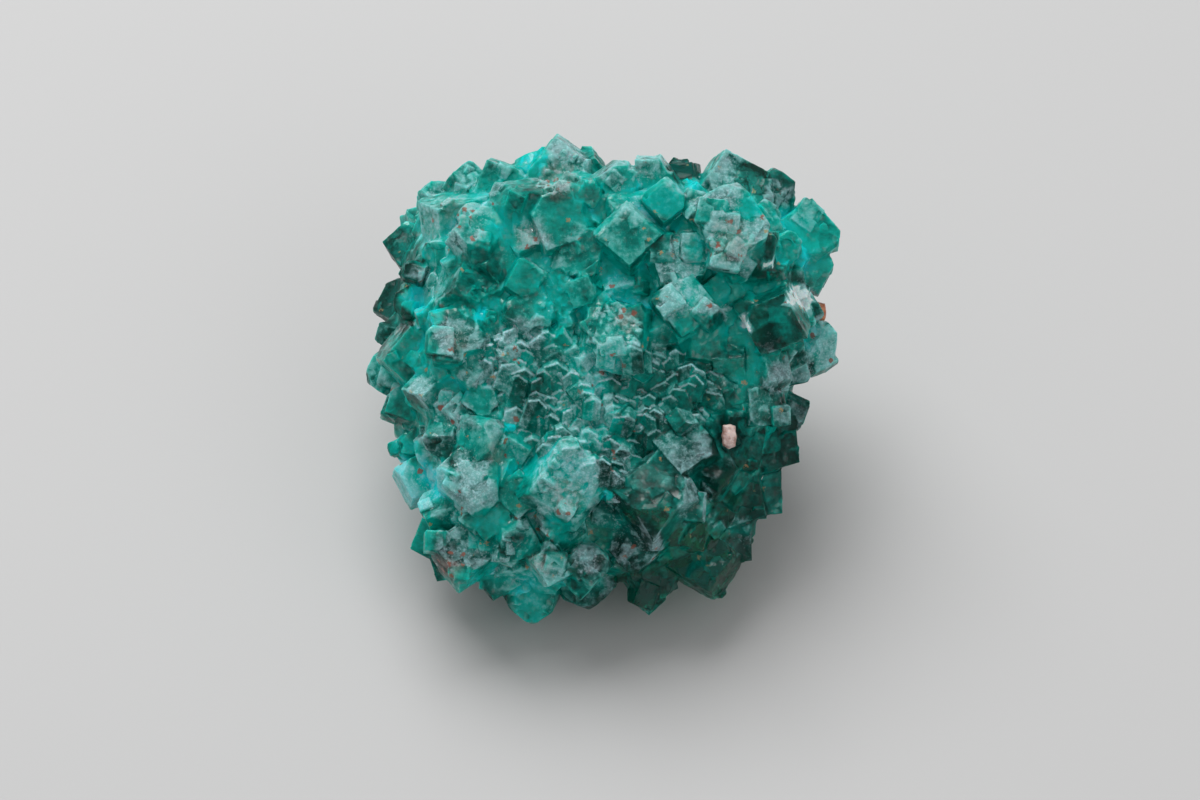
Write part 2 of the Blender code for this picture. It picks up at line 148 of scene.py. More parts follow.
def solidOf(shape, far):
    # the corners and faces of a shape whose planes lie so far out
    normals, rows, inverses = shape
    points = np.einsum("tij,tj->ti", inverses, far[rows])
    points = points[(points @ normals.T <= far + 1e-6).all(axis=1)]
    corners = points[np.unique(np.round(points, 4), axis=0, return_index=True)[1]]
    faces, planes = [], []
    for k, (normal, distance) in enumerate(zip(normals, far)):
        on = np.flatnonzero(np.abs(corners @ normal - distance) < 1e-3)
        if len(on) < 3:
            continue
        planes.append(k)
        away = corners[on] - corners[on].mean(axis=0)
        along = away[0] / np.linalg.norm(away[0])
        turns = np.arctan2(away @ np.cross(normal, along), away @ along)
        faces.append(on[np.argsort(turns)])
    return corners, faces, planes


def crystalSolid(radius, reach, rng):
    # a six sided prism with three end faces at each end, each face grown by its own amount
    spread = crystalHabit["uneven"]
    far = np.array([rng.uniform(1 - spread, 1 + spread) for _ in range(12)])
    far[0::2] *= radius
    far[1::2] *= reach * math.cos(math.radians(crystalHabit["capAngle"]))
    corners, faces, _ = solidOf(crystalShape, far)
    return corners, faces, [0.0] * len(faces)


def scaleSolid(width, rng):
    # a plate with a low ridge down its front and a peak along its upper edge, whose rim is told apart
    front, upper, side = (crystalHabit[name] for name in ("scaleFront", "scaleUpper", "scaleSide"))
    lower, back, spread = (crystalHabit[name] for name in ("scaleLower", "scaleBack", "scaleUneven"))
    far = np.array((front, front, upper, upper, 1.0, 1.0, side, side, lower, back)) * width
    far *= [rng.uniform(1 - spread, 1 + spread) for _ in far]
    normals = scaleShape[0]
    for i in (0, 1):
        meet = (far[i] + far[2 + i]) / np.linalg.norm(normals[i] + normals[2 + i])
        far[4 + i] = meet - crystalHabit["rim"]
    corners, faces, planes = solidOf(scaleShape, far)
    return corners, faces, [float(k in (4, 5)) for k in planes]


def facing(normal, heading):
    # a frame that turns one end face of a crystal to look along normal, and its axis towards heading
    normal = normal / np.linalg.norm(normal)
    across = heading - normal * (heading @ normal)
    across = across / (np.linalg.norm(across) + 1e-9)
    cap = math.radians(crystalHabit["capAngle"])
    axis = normal * math.cos(cap) + across * math.sin(cap)
    side = normal - axis * (normal @ axis)
    side = -side / np.linalg.norm(side)
    return np.array((side, np.cross(axis, side), axis))


def anyWay(rng, spread=1.0):
    return np.array([rng.gauss(0, spread) for _ in range(3)])


def shaken(rows, most, rng):
    angle = rng.gauss(0, most)
    return rows @ np.array(Matrix.Rotation(angle, 3, Vector(anyWay(rng)))).T


# The solid lump as the frame gives it, with its flat facets

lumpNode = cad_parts["dioptase_cluster"]
lumpMesh = lumpNode.data
lumpPoints = np.array([v.co for v in lumpMesh.vertices]) * 1000
lumpFaces = [list(p.vertices) for p in lumpMesh.polygons]
lumpTree = BVHTree.FromPolygons([Vector(p) for p in lumpPoints], lumpFaces)
report("lump: %d faces" % len(lumpFaces))


def facetsOf(points, faces):
    # groups the triangles that lie in one plane next to each other, and numbers the groups
    _, weld = np.unique(np.round(points, 3), axis=0, return_inverse=True)
    weld = weld.reshape(-1)
    normals, areas = [], []
    for face in faces:
        cross = np.cross(points[face[1]] - points[face[0]], points[face[2]] - points[face[0]])
        size = np.linalg.norm(cross)
        normals.append(cross / max(size, 1e-12))
        areas.append(size / 2)
    owner = list(range(len(faces)))

    def root(i):
        while owner[i] != i:
            owner[i] = owner[owner[i]]
            i = owner[i]
        return i

    beside = {}
    for i, face in enumerate(faces):
        for a, b in zip(face, face[1:] + face[:1]):
            edge = tuple(sorted((weld[a], weld[b])))
            other = beside.setdefault(edge, i)
            if other != i and normals[other] @ normals[i] > 0.9995:
                owner[root(i)] = root(other)
    return np.array([root(i) for i in range(len(faces))]), np.array(normals), np.array(areas)


facetOf, faceNormals, faceAreas = facetsOf(lumpPoints, lumpFaces)
facetArea = {}
for facet, area in zip(facetOf, faceAreas):
    facetArea[facet] = facetArea.get(facet, 0) + area
report("%d facets" % len(facetArea))

# What grows on the facets, with lengths in millimetres

growth = {
    "ledges": 260,  # low plates grown on the facets, lying as the crystal under them does
    "ledgeSize": (0.5, 1.6),
    "ledgeLength": (0.95, 1.3),  # for a width of 1
    "ledgeRise": (0.02, 0.1),
    "ledgeShake": 0.05,
    "ledgeElsewhere": 0.35,  # how many grow away from the show face
    "lowestLedge": 1.2,
    "crumbs": 170,  # small crystals that lie any way
    "crumbSize": (0.4, 0.9),
    "crumbLength": (1.0, 1.5),
    "crumbSink": 0.75,
    "crumbElsewhere": 0.3,
    "lowestCrumb": 1.0,
    "scaleRows": 0.66,  # from one row of scales to the next
    "scaleColumns": 1.0,
    "scaleWidth": (1.1, 1.7),
    "scaleLean": 24,  # degrees that the upper edge stands out
    "scaleSlope": 0.12,  # how much the rows drop to the right
    "scaleWave": (0.5, 1.7),  # height and width of the rows' waves
    "scaleShift": (0.25, 0.15),
    "scaleSink": 0.1,
    "sparkles": 22,  # for a square of one radius
    "sparkleSize": (0.16, 0.34),
    "sparkleLength": 1.2,
    "sparkleSink": 0.3,
    "wear": 1,  # how many times the skin is smoothed
    "fillReach": 140,  # rounds of smoothing that find the level of a gap's rim
    "fill": 0.62,  # share of a gap's depth that is grown shut
    "deepestGap": 1.5,
    "skin": 0.085,  # how finely the joined skin is made
    "keepScales": 0.5,  # how much more finely it stays there
    "triangles": 194000,
}

# Places on the show face: (right, up, radius)

smoothFacets = [  # facets that stay almost clean
    (-3.0, 11.5, 1.7), (-8.5, -4.2, 1.4), (5.3, 8.3, 1.2), (2.0, 9.5, 1.2), (-13.0, -7.2, 1.8),
    (9.0, 6.5, 1.1), (12.5, 4.2, 2.2), (-5.6, 7.2, 1.1), (6.5, -9.0, 1.2), (4.6, 12.8, 1.2),
    (-8.0, -10.2, 1.2), (3.8, -10.4, 1.6), (9.2, -4.0, 1.5), (15.9, 4.9, 1.0), (7.3, 3.0, 1.2),
    (-6.0, -8.3, 1.0), (5.8, -5.0, 1.2),
]
scalyZones = [
    (-5.6, 0.9, 3.0), (-3.0, -2.6, 3.2), (1.8, -0.6, 3.0), (5.4, -0.9, 2.8), (2.4, -3.4, 2.4),
    (0.6, -6.2, 1.7),
]
sparklyZones = [
    (-2.5, 6.2, 2.0), (-8.4, 5.6, 1.6), (1.0, 3.4, 2.0), (9.0, 10.0, 2.2), (-2.8, 14.8, 1.8),
    (-2.6, -7.0, 1.9),
]


def within(zones, right, up, grow=1.0):
    return any((right - r) ** 2 + (up - u) ** 2 < (radius * grow) ** 2 for r, u, radius in zones)


def scaliness(points):
    right, up, out = toFace(points).T
    share = np.zeros(len(points))
    for r, u, radius in scalyZones:
        share = np.maximum(share, smoothStep(1.15, 0.85, np.hypot(right - r, up - u) / radius) * (out > 0))
    return share


smallCrystals = []  # the corners and faces of each one, and which of its faces are rims


def picked(rng, count, behind):
    # faces picked by their area, more of them on the show face than behind it
    weights = faceAreas * (behind + np.clip(faceNormals @ faceOut, 0, 1))
    return rng.choices(range(len(lumpFaces)), weights=list(weights), k=count)


def spotOn(i, rng):
    a, b, c = lumpPoints[lumpFaces[i][:3]]
    s, t = sorted((rng.random(), rng.random()))
    return a * s + b * (t - s) + c * (1 - t)


def growLedges():
    rng = random.Random(21)
    for i in picked(rng, growth["ledges"], growth["ledgeElsewhere"]):
        place = spotOn(i, rng)
        size = rng.uniform(*growth["ledgeSize"])
        right, up, out = toFace(place)
        if place[2] < growth["lowestLedge"] or (within(smoothFacets, right, up) and out > 0):
            continue
        size = min(size, 0.45 * math.sqrt(facetArea[facetOf[i]]) + 0.15)
        turn = random.Random(int(facetOf[i])).uniform(0, 2 * math.pi)
        heading = np.array((math.cos(turn), math.sin(turn), 0.4))
        rows = shaken(facing(faceNormals[i], heading), growth["ledgeShake"], rng)
        depth = size * math.cos(math.radians(crystalHabit["capAngle"]))
        rise = rng.uniform(*growth["ledgeRise"])
        corners, faces, rims = crystalSolid(size, size * rng.uniform(*growth["ledgeLength"]), rng)
        smallCrystals.append((corners @ rows + place - faceNormals[i] * (depth - rise), faces, rims))


def growCrumbs():
    rng = random.Random(22)
    for i in picked(rng, growth["crumbs"], growth["crumbElsewhere"]):
        place = spotOn(i, rng)
        right, up, out = toFace(place)
        if place[2] < growth["lowestCrumb"] or (within(smoothFacets, right, up, 1.1) and out > 0):
            continue
        size = rng.uniform(*growth["crumbSize"])
        way = anyWay(rng)
        rows = facing(faceNormals[i] + 0.5 * way / np.linalg.norm(way), anyWay(rng))
        corners, faces, rims = crystalSolid(size, size * rng.uniform(*growth["crumbLength"]), rng)
        place = place - faceNormals[i] * growth["crumbSink"] * size
        smallCrystals.append((corners @ rows + place, faces, rims))


def onLump(right, up):
    # where a line straight into the show face meets the lump
    hit, normal, _, _ = lumpTree.ray_cast(Vector(fromFace(right, up, 40)), Vector(-faceOut))
    return (None, None) if hit is None else (np.array(hit), np.array(normal))


def growScales():
    # rows of plates that overlap as roof tiles do, each with its upper edge standing out
    rng = random.Random(23)
    waveHeight, waveWidth = growth["scaleWave"]
    aside, above = growth["scaleShift"]
    for row in range(-15, 10):
        for k in range(-14, 15):
            right = (k + 0.5 * (row % 2)) * growth["scaleColumns"] + rng.uniform(-aside, aside)
            up = row * growth["scaleRows"] - growth["scaleSlope"] * right
            up += waveHeight * math.sin(right / waveWidth) + rng.uniform(-above, above)
            if not within(scalyZones, right, up) or within(smoothFacets, right, up):
                continue
            place, _ = onLump(right, up)
            if place is None:
                continue
            swing = noise.noise(Vector((right, up, 0)) / 3)
            turn = Matrix.Rotation(math.radians(growth["scaleLean"]) + rng.gauss(0, 0.1), 3, "X")
            turn = Matrix.Rotation(rng.gauss(0, 0.2) + 0.4 * swing, 3, "Y") @ turn
            turn = Matrix.Rotation(rng.gauss(-0.1, 0.16) - 0.5 * swing, 3, "Z") @ turn
            width = rng.uniform(*growth["scaleWidth"])
            corners, faces, rims = scaleSolid(width, rng)
            corners = corners @ np.array(turn).T @ faceAxes + place - faceOut * growth["scaleSink"]
            smallCrystals.append((corners, faces, rims))


def growSparkles():
    rng = random.Random(24)
    for r, u, radius in sparklyZones:
        for _ in range(int(growth["sparkles"] * radius * radius)):
            turn, away = rng.uniform(0, 2 * math.pi), radius * math.sqrt(rng.random())
            place, normal = onLump(r + away * math.cos(turn), u + away * math.sin(turn))
            if place is None:
                continue
            size = rng.uniform(*growth["sparkleSize"])
            rows = facing(normal + anyWay(rng, 0.5), anyWay(rng))
            corners, faces, rims = crystalSolid(size, size * growth["sparkleLength"], rng)
            place = place - normal * size * growth["sparkleSink"]
            smallCrystals.append((corners @ rows + place, faces, rims))


growLedges()
growCrumbs()
growScales()
growSparkles()
report("%d small crystals" % len(smallCrystals))


def joinedSkin():
    # the lump and every small crystal in one mesh
    points = [lumpPoints]
    faces = [list(face) for face in lumpFaces]
    ids = list(facetOf)
    rims = [0.0] * len(ids)
    count = len(lumpPoints)
    for k, (corners, sides, sideRims) in enumerate(smallCrystals):
        points.append(corners)
        faces += [[int(i) + count for i in side] for side in sides]
        ids += [20000 + 10 * k + i for i in range(len(sides))]
        rims += sideRims
        count += len(corners)
    mesh = bpy.data.meshes.new("joinedSkin")
    mesh.from_pydata([tuple(p) for p in np.concatenate(points)], [], faces)
    obj = bpy.data.objects.new("joinedSkin", mesh)
    scene.collection.objects.link(obj)
    return obj, np.array(ids, float), np.array(rims)


def applied(obj):
    bpy.context.view_layer.update()
    done = bpy.data.meshes.new_from_object(obj.evaluated_get(bpy.context.evaluated_depsgraph_get()))
    obj.modifiers.clear()
    obj.data = done


def layVoxelSkin(obj, size):
    skin = obj.modifiers.new("skin", "REMESH")
    skin.mode = "VOXEL"
    skin.voxel_size = size
    applied(obj)


def pointsOf(mesh):
    flat = np.empty(len(mesh.vertices) * 3)
    mesh.vertices.foreach_get("co", flat)
    return flat.reshape(-1, 3)


def normalsOf(mesh):
    flat = np.empty(len(mesh.vertices) * 3)
    mesh.vertices.foreach_get("normal", flat)
    return flat.reshape(-1, 3)


def movePoints(mesh, points):
    mesh.vertices.foreach_set("co", points.reshape(-1))
    mesh.update()


lump, sourceId, sourceRim = joinedSkin()
report("small crystals laid in: %d faces" % len(lump.data.polygons))
sourceTree = BVHTree.FromPolygons(
    [v.co.copy() for v in lump.data.vertices], [list(p.vertices) for p in lump.data.polygons])
layVoxelSkin(lump, growth["skin"])
report("skin: %d faces" % len(lump.data.polygons))


def hashed(ids, salt):
    return np.modf(np.abs(np.sin(ids * 12.9898 + salt * 78.233) * 43758.5453))[0]


def smoothed(points, pairs, times):
    count = np.bincount(pairs.ravel(), minlength=len(points))[:, None]
    now = points.copy()
    for _ in range(times):
        total = np.zeros_like(now)
        for axis in range(now.shape[1]):
            total[:, axis] = np.bincount(pairs[:, 0], now[pairs[:, 1], axis], len(points))
            total[:, axis] += np.bincount(pairs[:, 1], now[pairs[:, 0], axis], len(points))
        now = total / np.maximum(count, 1)
    return now


def pairsOf(mesh):
    ends = np.empty(len(mesh.edges) * 2, np.int64)
    mesh.edges.foreach_get("vertices", ends)
    return ends.reshape(-1, 2)


# Steps and pits in the facets, finer than the crystals

relief = {
    "facet": 1.0,  # width of the small facets that a face is broken into, in millimetres
    "facetLean": 0.06,  # how far they tip, as a slope
    "facetMost": 0.15,  # the most that a tip lifts or sinks
    "facetStep": 0.02,
    "pit": 0.008,
    "pitSize": 0.33,
    "onSmooth": 0.25,  # share of all that on the smooth facets, and on the scales
    "onScales": 0.2,
}


def roughen(mesh):
    points, normals = pointsOf(mesh), normalsOf(mesh)
    width, pitSize = relief["facet"], relief["pitSize"]
    middles, pits = np.empty_like(points), np.empty(len(points))
    for i, point in enumerate(points):
        at = Vector(point)
        middles[i] = noise.voronoi(at / width)[1][0]
        pits[i] = noise.noise(at / pitSize)
    chances = np.array([hashed(middles @ (1.7, 3.1, 5.3), salt) for salt in (1, 2, 3, 4)]).T
    tips = ((points - middles * width) * (chances[:, :3] - 0.5)).sum(axis=1) * 2 * relief["facetLean"]
    rise = np.clip(tips, -relief["facetMost"], relief["facetMost"])
    rise += relief["facetStep"] * (chances[:, 3] - 0.5) + relief["pit"] * pits
    right, up, out = toFace(points).T
    calm = np.ones(len(points))
    for r, u, radius in smoothFacets:
        near = smoothStep(1.1, 0.8, np.hypot(right - r, up - u) / radius) * (out > 0)
        calm *= 1 - (1 - relief["onSmooth"]) * near
    calm *= 1 - (1 - relief["onScales"]) * scaliness(points)
    low = smoothStep(0.1, 0.6, points[:, 2])
    points += normals * (rise * calm * low)[:, None]
    points[:, 2] = np.where(points[:, 2] < 0.07, 0, points[:, 2])
    movePoints(mesh, points)


def fillGaps(mesh):
    # the crystals grew into each other, so the gaps between them are shallow
    points, normals, pairs = pointsOf(mesh), normalsOf(mesh), pairsOf(mesh)
    scaly = scaliness(points)
    for _ in range(growth["wear"]):
        points += 0.5 * (1 - 0.6 * scaly)[:, None] * (smoothed(points, pairs, 1) - points)
    depth = ((smoothed(points, pairs, growth["fillReach"]) - points) * normals).sum(axis=1)
    depth = np.clip(smoothed(depth[:, None], pairs, 3)[:, 0], 0, growth["deepestGap"])
    share = growth["fill"] * (1 - 0.7 * scaly)
    points += normals * (depth * share * smoothStep(0.3, 1.5, points[:, 2]))[:, None]
    movePoints(mesh, points)


def dropFlakes(mesh):
    # thinning leaves a few loose triangles, which aren't joined to the rest
    work = bmesh.new()
    work.from_mesh(mesh)
    joined = {max(work.verts, key=lambda vert: vert.co.z)}
    queue = list(joined)
    while queue:
        vert = queue.pop()
        for edge in vert.link_edges:
            other = edge.other_vert(vert)
            if other not in joined:
                joined.add(other)
                queue.append(other)
    bmesh.ops.delete(work, geom=[vert for vert in work.verts if vert not in joined], context="VERTS")
    work.to_mesh(mesh)
    work.free()


fillGaps(lump.data)
report("gaps filled")
roughen(lump.data)
report("roughened")
keep = lump.vertex_groups.new(name="keep")
share = scaliness(pointsOf(lump.data))
for level in (0.25, 0.5, 0.75, 1.0):
    keep.add([int(i) for i in np.flatnonzero(np.ceil(share * 4) / 4 == level)], level, "REPLACE")
few = lump.modifiers.new("few", "DECIMATE")
few.vertex_group = "keep"
few.invert_vertex_group = True
few.vertex_group_factor = growth["keepScales"]
few.ratio = growth["triangles"] / (2 * len(lump.data.polygons))
few.use_collapse_triangulate = True
applied(lump)
dropFlakes(lump.data)
report("thinned: %d faces" % len(lump.data.polygons))

# How each place is finished and lit: (right, up, radius, frost, light, clear). Frost is partly real frost
# and partly a painted sheen, and frost over the glare level paints a white glint. Light is painted light
# and shade over the depth of the green, and light over 1 paints a cyan glow at thin edges. Frost, light and
# clear run from 0 to 1 or a little over, and later rows lie over earlier ones.

finishes = [
    (-15.5, 8.5, 3.0, 0.2, 0.14, 0.2), (-15.8, 4.0, 2.2, 0.2, 0.2, 0.2),
    (-3.0, 15.4, 2.3, 0.75, 0.6, 0.1), (-5.0, 16.3, 1.2, 0.1, 1.0, 0.1),
    (-1.0, 13.4, 1.3, 0.1, 0.95, 0.3), (-8.0, 14.5, 1.9, 0.5, 0.75, 0.1),
    (-10.5, 12.0, 2.8, 0.68, 0.78, 0.0), (-3.0, 11.5, 2.0, 0.1, 0.62, 0.3),
    (-5.2, 10.3, 1.1, 0.95, 0.5, 0.0), (-1.5, 9.5, 1.6, 0.35, 0.6, 0.2),
    (-5.6, 7.2, 1.2, 0.1, 0.6, 0.3), (-5.0, 5.0, 1.5, 0.35, 0.55, 0.2),
    (-8.7, 4.7, 0.45, 0.0, 1.2, 0.1), (-11.9, 4.6, 0.65, 0.0, 1.25, 0.1),
    (-13.7, 5.8, 1.0, 0.0, 1.2, 0.1), (-12.5, 9.2, 0.5, 0.0, 1.15, 0.1),
    (-12.2, 7.5, 1.0, 0.75, 0.6, 0.0), (-10.5, 3.0, 1.6, 0.8, 0.6, 0.0),
    (-14.0, 1.5, 2.2, 0.15, 0.75, 0.3), (-9.3, 0.7, 1.1, 0.8, 0.5, 0.1),
    (-6.0, 1.5, 3.0, 0.75, 0.42, 0.0), (-2.5, 6.0, 2.3, 0.3, 0.8, 0.1), (-3.0, 2.8, 1.1, 0.4, 0.6, 0.1),
    (3.5, 14.3, 2.9, 0.62, 0.76, 0.1), (6.0, 15.3, 1.3, 0.0, 0.12, 0.2),
    (4.5, 12.8, 1.4, 0.15, 0.95, 0.1), (6.6, 14.3, 0.45, 0.0, 1.2, 0.1),
    (6.8, 13.0, 0.8, 0.85, 0.6, 0.0), (8.8, 14.8, 1.6, 0.6, 0.55, 0.1),
    (11.0, 14.8, 1.3, 0.05, 0.12, 0.5), (12.9, 13.6, 1.1, 0.6, 0.45, 0.1),
    (9.0, 10.5, 3.0, 0.72, 0.72, 0.0), (10.5, 12.3, 1.0, 0.1, 0.95, 0.1),
    (15.3, 10.5, 2.7, 0.3, 0.9, 0.1), (13.3, 9.0, 0.9, 0.3, 0.9, 0.1), (2.0, 9.7, 2.2, 0.25, 0.62, 0.1),
    (5.3, 8.3, 2.0, 0.6, 0.55, 0.1), (6.5, 11.3, 1.1, 0.4, 0.6, 0.2), (6.8, 9.3, 0.8, 0.2, 0.8, 0.2),
    (6.0, 5.3, 1.9, 1.0, 0.82, 0.0), (7.9, 6.0, 0.8, 0.7, 0.6, 0.1), (9.0, 6.5, 1.3, 0.0, 0.5, 0.2),
    (1.3, 6.5, 1.2, 0.5, 0.8, 0.1), (8.5, 4.7, 0.9, 0.85, 0.35, 0.0), (1.0, 3.3, 2.2, 0.65, 0.6, 0.0),
    (3.8, 3.3, 1.1, 0.3, 0.55, 0.1), (7.3, 3.0, 2.1, 0.15, 0.62, 0.1), (9.0, 1.5, 1.6, 0.2, 0.35, 0.3),
    (16.0, 2.5, 1.9, 0.95, 0.95, 0.0), (14.5, 1.0, 1.2, 0.8, 0.4, 0.0),
    (13.0, 0.0, 1.2, 0.8, 0.35, 0.0), (8.5, -0.2, 1.1, 0.3, 0.3, 0.2), (0.0, -1.0, 4.0, 0.7, 0.76, 0.1),
    (-4.5, -1.5, 3.6, 0.55, 0.48, 0.1), (4.5, -1.0, 3.8, 0.42, 0.32, 0.1),
    (5.5, -1.0, 2.2, 0.3, 0.26, 0.1), (-5.0, -1.0, 1.6, 0.3, 0.28, 0.1),
    (3.2, -5.2, 3.2, 0.4, 0.3, 0.1), (11.5, -2.2, 1.6, 0.35, 0.5, 0.2),
    (14.0, -2.5, 1.6, 0.4, 0.3, 0.1), (3.5, -2.7, 1.2, 0.4, 0.3, 0.1), (5.8, -5.0, 2.0, 0.5, 0.26, 0.0),
    (9.2, -4.0, 1.7, 0.15, 0.08, 0.0), (3.8, -8.0, 2.3, 0.35, 0.2, 0.1),
    (3.8, -10.5, 2.1, 0.0, 0.42, 0.5), (6.5, -9.0, 1.3, 0.45, 0.45, 0.1),
    (8.0, -7.0, 1.5, 0.3, 0.2, 0.1), (12.8, -5.5, 2.4, 0.0, 0.24, 0.1),
    (10.5, -8.5, 2.6, 0.1, 0.16, 0.2), (9.5, -11.0, 1.3, 0.5, 0.28, 0.1),
    (7.0, -13.5, 3.2, 0.0, 0.12, 0.5), (3.0, -14.5, 2.2, 0.0, 0.02, 0.3),
    (2.5, -11.8, 1.9, 0.55, 0.2, 0.0), (0.5, -9.3, 1.2, 0.6, 0.24, 0.0),
    (0.3, -6.5, 1.3, 0.6, 0.24, 0.0), (1.2, -5.5, 1.0, 0.5, 0.24, 0.0),
    (-13.0, -7.3, 2.3, 1.0, 1.25, 0.0), (-9.3, -8.2, 1.7, 0.85, 0.7, 0.0),
    (-9.2, -6.3, 1.3, 0.85, 0.7, 0.0), (-8.5, -4.2, 1.7, 0.5, 0.65, 0.1),
    (-6.0, -5.0, 1.3, 0.5, 0.6, 0.1), (-11.0, -3.9, 1.0, 0.6, 0.6, 0.1),
    (-11.8, -5.3, 0.9, 0.6, 0.6, 0.1), (-13.4, -4.1, 1.0, 0.8, 0.4, 0.0),
    (-14.7, -4.7, 0.9, 0.1, 0.9, 0.2), (-13.5, -5.3, 0.7, 0.1, 0.9, 0.2),
    (-10.0, -2.5, 1.1, 0.7, 0.4, 0.0), (-11.2, -1.8, 1.1, 0.8, 0.6, 0.0),
    (-12.5, -0.8, 1.3, 0.8, 0.6, 0.0), (-14.0, -2.5, 1.4, 0.1, 0.5, 0.3),
    (-7.0, -7.0, 1.1, 0.1, 0.85, 0.2), (-6.0, -8.3, 1.5, 0.3, 0.38, 0.2),
    (-2.6, -7.3, 2.6, 0.95, 0.84, 0.0), (-8.0, -10.3, 1.3, 0.05, 0.8, 0.3),
    (-11.2, -9.8, 1.3, 0.7, 0.6, 0.0), (-13.0, -11.0, 1.4, 0.05, 0.9, 0.2),
    (-9.8, -13.0, 2.4, 0.48, 0.4, 0.0), (-10.0, -14.9, 1.5, 0.05, 0.9, 0.2),
    (-6.0, -11.5, 1.4, 0.7, 0.6, 0.0), (-7.0, -14.0, 1.3, 0.6, 0.6, 0.0),
    (-5.0, -15.8, 1.7, 0.4, 0.85, 0.1), (-5.3, -17.4, 1.0, 0.2, 0.9, 0.2),
    (-3.3, -12.3, 1.1, 0.3, 0.38, 0.1), (-3.2, -10.5, 1.1, 0.2, 0.8, 0.1),
    (-3.8, -14.0, 1.6, 0.6, 0.75, 0.0), (-1.0, -13.0, 1.1, 0.8, 0.5, 0.0),
    (-0.8, -14.9, 1.1, 0.3, 0.6, 0.1), (-6.7, -3.4, 0.35, 0.0, 1.2, 0.0),
    (0.3, -8.5, 0.4, 0.0, 1.2, 0.0), (12.0, 7.5, 1.1, 0.0, 0.3, 0.2), (12.5, 4.5, 3.0, 0.1, 0.5, 0.25),
    (12.4, 3.9, 1.4, 0.1, 0.95, 0.1), (14.3, 6.0, 0.9, 1.4, 1.0, 0.0), (10.5, 4.0, 0.5, 1.4, 1.0, 0.0),
    (12.0, 8.2, 0.35, 1.4, 1.0, 0.0), (12.0, 3.0, 0.9, 0.7, 0.38, 0.0),
]

stains = [  # where rust has got into the frost: (right, up, radius)
    (-3.2, 14.6, 1.7), (-5.2, 10.3, 1.0), (-10.5, 12.3, 1.5), (9.3, 9.8, 1.7), (-7.4, -5.2, 0.9),
    (-2.4, -8.1, 1.2), (1.8, 4.2, 0.9), (-10.4, 3.0, 0.8), (-11.0, -13.5, 0.9), (-4.5, -13.2, 0.8),
]

elsewhere = {  # the frost with its painted sheen, the painted light and shade, and the clear away from those places
    "frost": 0.3, "frostAndSheenSpread": 0.5,
    # painted light and shade: lighter to the upper left and darker to the lower right, with broad lumps
    # lighter and darker
    "light": 0.5, "lightSpread": 0.35, "lightSlope": 0.012,
    "clear": 0.12, "clearSpread": 0.3,
    "facetFrostAndSheen": (0.25, 0.55),  # how much the frost and its painted sheen stray from facet to facet, and how much more in frost
    # painted glint: a face with more frost than the glare level is painted near white
    "glare": 1.05,  # more frost than this is a face that glares
    "warps": ((1.3, 0.45, (0, 5)), (0.5, 0.25, (9, 13))),  # the ragged rims of the places
    "edgeHeight": 0.06,
    "hollowDepth": 0.5,
}


def finishLump(mesh):
    points, normals = pointsOf(mesh), normalsOf(mesh)
    right, up, out = toFace(points).T
    shown = smoothStep(-8, -5, out)
    broad = wobble(points, 5.0, 3)
    frost = elsewhere["frost"] + elsewhere["frostAndSheenSpread"] * broad
    # painted light and shade: lighter to the upper left, darker to the lower right, in broad lumps
    light = elsewhere["light"] - elsewhere["lightSlope"] * (right - up)
    light -= elsewhere["lightSpread"] * wobble(points, 4.0, 17)
    clear = elsewhere["clear"] + elsewhere["clearSpread"] * np.clip(wobble(points, 3.0, 23), 0, 1)
    for width, reach, shifts in elsewhere["warps"]:
        right = right + reach * wobble(points, width, shifts[0])
        up = up + reach * wobble(points, width, shifts[1])
    for r, u, radius, f, l, c in finishes:
        near = smoothStep(1.12, 0.85, np.hypot(right - r, up - u) / radius) * shown
        frost += near * (f - frost)
        light += near * (l - light)
        clear += near * (c - clear)
    stain = np.zeros(len(points))
    for r, u, radius in stains:
        near = smoothStep(1.2, 0.5, np.hypot(right - r, up - u) / radius) * shown
        stain = np.maximum(stain, near)
    source = np.array([sourceTree.find_nearest(Vector(point))[2] for point in points])
    least, more = elsewhere["facetFrostAndSheen"]
    patchy = frost + (least + more * np.clip(frost, 0, 1)) * (hashed(sourceId[source], 2) - 0.5)
    pairs = pairsOf(mesh)
    edge = ((points - smoothed(points, pairs, 3)) * normals).sum(axis=1)
    hollow = ((smoothed(points, pairs, 50) - points) * normals).sum(axis=1)
    values = {
        # the frost strays facet by facet, partly as painted sheen; over the glare level it stays whole as a
        # painted glint
        "frost": np.where(frost > elsewhere["glare"], frost, np.clip(patchy, 0, 0.98)),
        "light": light, "clear": clear, "stain": stain,
        "tone": hashed(sourceId[source], 1),
        # ridges, hollows, faces turned up and scale rims steer painted light: lighter ridges, hollows
        # lighter and bumps darker, sheen on faces turned up, highlights on rims
        "edge": np.clip(edge / elsewhere["edgeHeight"], -1, 1),
        "hollow": np.clip(hollow / elsewhere["hollowDepth"], -1, 1),
        "upward": normals @ faceUp,
        "rim": sourceRim[source],
    }
    for name, value in values.items():
        layer = mesh.attributes.new(name, "FLOAT", "POINT")
        layer.data.foreach_set("value", value.astype(np.float32))


finishLump(lump.data)
report("finishes laid on")
movePoints(lump.data, np.clip(pointsOf(lump.data) * 0.001, *cadBox))
lump.name = "dioptaseLump"
lump.data.name = "dioptaseLump"
lump.data.shade_smooth()
lump.data.set_sharp_from_angle(angle=math.radians(38))
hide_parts("dioptase_cluster")
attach(lump, "root")


# Materials

